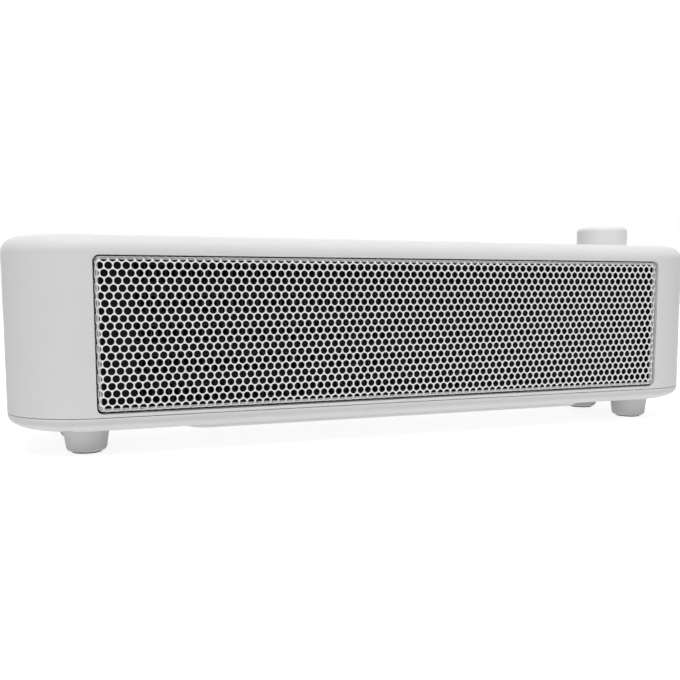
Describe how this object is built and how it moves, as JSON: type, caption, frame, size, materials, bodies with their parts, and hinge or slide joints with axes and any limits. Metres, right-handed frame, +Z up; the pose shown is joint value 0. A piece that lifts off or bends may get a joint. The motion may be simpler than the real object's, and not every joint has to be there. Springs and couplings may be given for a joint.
{
  "type": "fan heater",
  "caption": "Low wide fan heater with rounded ends, perforated front grille, rotary selector knob on top and short round feet; cross-flow blower behind a finned heater.",
  "frame": {"origin": "on the floor plane, under the middle of the body", "axes": "+X to the right as seen from the front, along the body's length; +Y to the back; +Z up"},
  "size_m": [0.397, 0.1, 0.117],
  "materials": {
    "white_plastic": "fine matt moulded texture",
    "knob_plastic": "smooth matt",
    "foot_plastic": "smooth matt",
    "pad_rubber": "matt",
    "grille_metal": "satin white paint",
    "black_plastic": "matt black",
    "gland_rubber": "matt",
    "heater_aluminium": "black coated fins",
    "tube_coating": "black coated tubes",
    "duct_steel": "dark grey paint",
    "fan_aluminium": "satin",
    "plain_steel": "bare",
    "zinc_screws": "zinc plated",
    "black_screws": "black oxide",
    "bearing_bronze": "bare",
    "coil_tape": "yellow tape",
    "terminal_plastic": "plain",
    "fuse_ceramic": "glazed"
  },
  "bodies": {
    "housing": {"base_screws": "zinc_screws", "base_tray": "white_plastic", "blower_screws": "zinc_screws", "cord_gland": "gland_rubber", "end_plate_left": "duct_steel", "end_plate_right": "duct_steel", "fan_bearing": "bearing_bronze", "fin_strip_1": "heater_aluminium", "fin_strip_2": "heater_aluminium", "fin_strip_3": "heater_aluminium", "fin_strip_4": "heater_aluminium", "fin_strip_5": "heater_aluminium", "foot_front_left": "foot_plastic", "foot_front_right": "foot_plastic", "foot_pad_front_left": "pad_rubber", "foot_pad_front_right": "pad_rubber", "foot_pad_rear_left": "pad_rubber", "foot_pad_rear_right": "pad_rubber", "foot_rear_left": "foot_plastic", "foot_rear_right": "foot_plastic", "foot_screws": "zinc_screws", "front_grille": "grille_metal", "grille_collar": "white_plastic", "heater_cap_left": "black_plastic", "heater_cap_right": "black_plastic", "heater_screws": "black_screws", "heater_tabs": "bearing_bronze", "heater_tube_1": "tube_coating", "heater_tube_2": "tube_coating", "heater_tube_3": "tube_coating", "heater_tube_4": "tube_coating", "motor_bracket_inner": "plain_steel", "motor_bracket_outer": "plain_steel", "motor_coil": "coil_tape", "motor_screws": "zinc_screws", "motor_spacers": "gland_rubber", "motor_stator": "plain_steel", "outlet_frame": "black_plastic", "rear_intake_panel": "white_plastic", "rotary_switch": "black_plastic", "scroll": "duct_steel", "switch_nut": "plain_steel", "terminal_block": "terminal_plastic", "terminal_screws": "zinc_screws", "thermal_cutout": "black_plastic", "thermal_fuse": "fuse_ceramic", "tilt_case": "black_plastic", "tilt_pin": "plain_steel", "upper_shell": "white_plastic", "vortex_tongue": "duct_steel"},
    "knob": {"knob": "knob_plastic", "selector_shaft": "plain_steel"},
    "fan": {"fan_rotor": "fan_aluminium", "motor_shaft": "plain_steel", "stub_shaft": "plain_steel", "motor_rotor": "plain_steel"},
    "tilt_pendulum": {"tilt_pendulum": "plain_steel"}
  },
  "joints": [
    {"name": "knob_turn", "type": "hinge", "parent": "housing", "child": "knob", "pos_m": [0.1577, 0, 0.1037], "axis": [0, 0, -1], "range_deg": [0, 270]},
    {"name": "fan_spin", "type": "hinge", "parent": "housing", "child": "fan", "pos_m": [0, 0.01, 0.05755], "axis": [1, 0, 0], "continuous": true},
    {"name": "tilt_swing", "type": "hinge", "parent": "housing", "child": "tilt_pendulum", "pos_m": [0.15, 0.028, 0.06355], "axis": [1, 0, 0], "range_deg": [-18, 18]}
  ]
}
